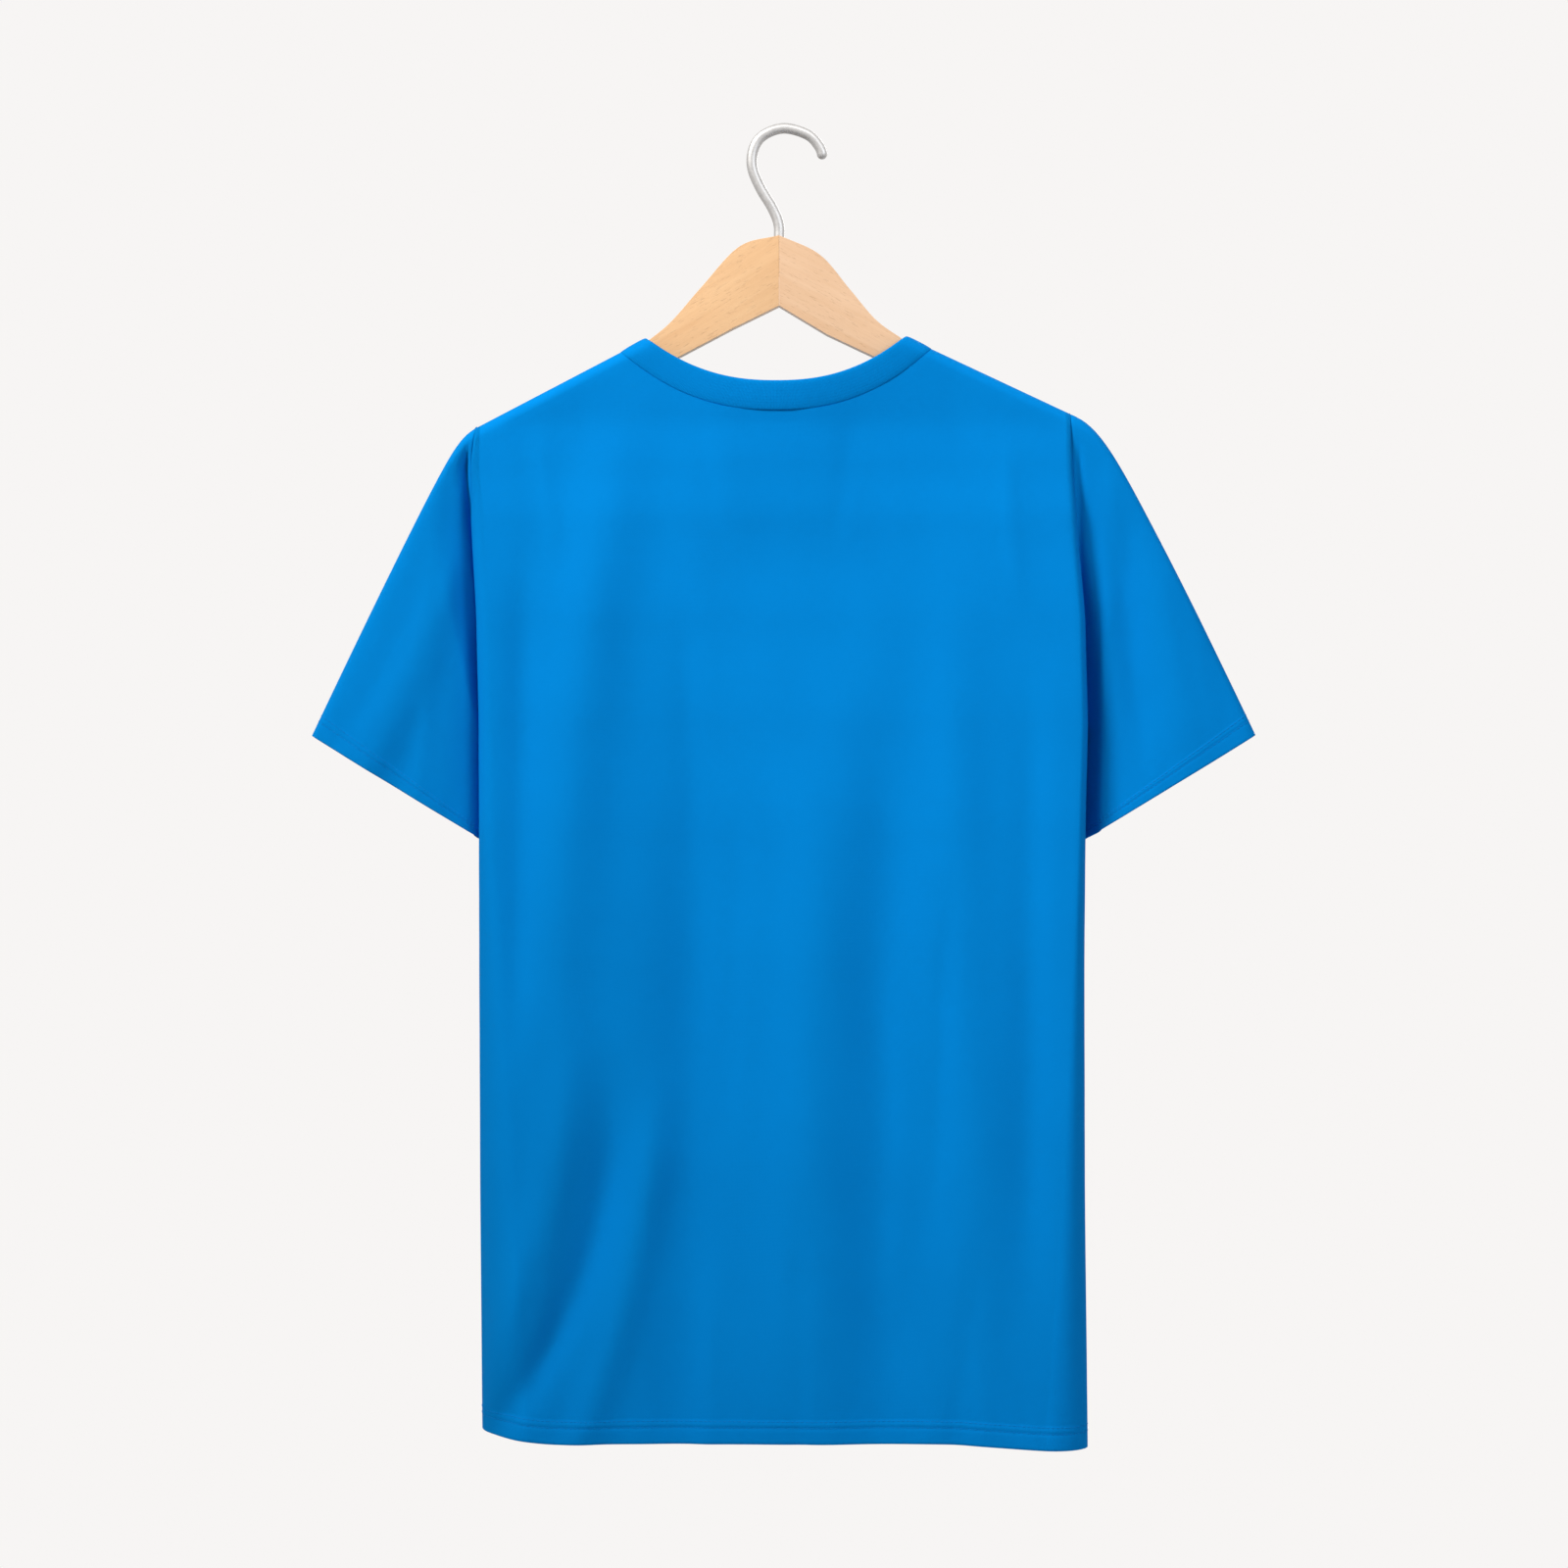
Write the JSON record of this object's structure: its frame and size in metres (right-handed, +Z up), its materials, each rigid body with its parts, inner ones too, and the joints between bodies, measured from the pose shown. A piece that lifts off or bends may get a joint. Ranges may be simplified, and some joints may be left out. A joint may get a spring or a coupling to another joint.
{
  "type": "t-shirt on a hanger",
  "caption": "Short-sleeved crew-neck T-shirt of thin jersey, hung flat on a curved wooden hanger whose wire hook carries it from a rail.",
  "frame": {"origin": "inside of the crown of the hanger's hook, where a rail carries the hanger", "axes": "+Z up; the garment's back faces -Y and its front faces +Y; +X runs towards the side that the hook opens to"},
  "size_m": [0.6346, 0.1257, 0.8859],
  "materials": {
    "blue_jersey": "matt single jersey knit",
    "blue_rib_knit": "matt rib knit",
    "beech": "satin lacquer",
    "polished_steel": "bright plated wire"
  },
  "bodies": {
    "root": {"back_panel": "blue_jersey", "front_panel": "blue_jersey", "sleeve_left": "blue_jersey", "sleeve_right": "blue_jersey", "neck_rib": "blue_rib_knit", "hanger_arm_left": "beech", "hanger_arm_right": "beech", "hanger_hook": "polished_steel"}
  },
  "joints": []
}
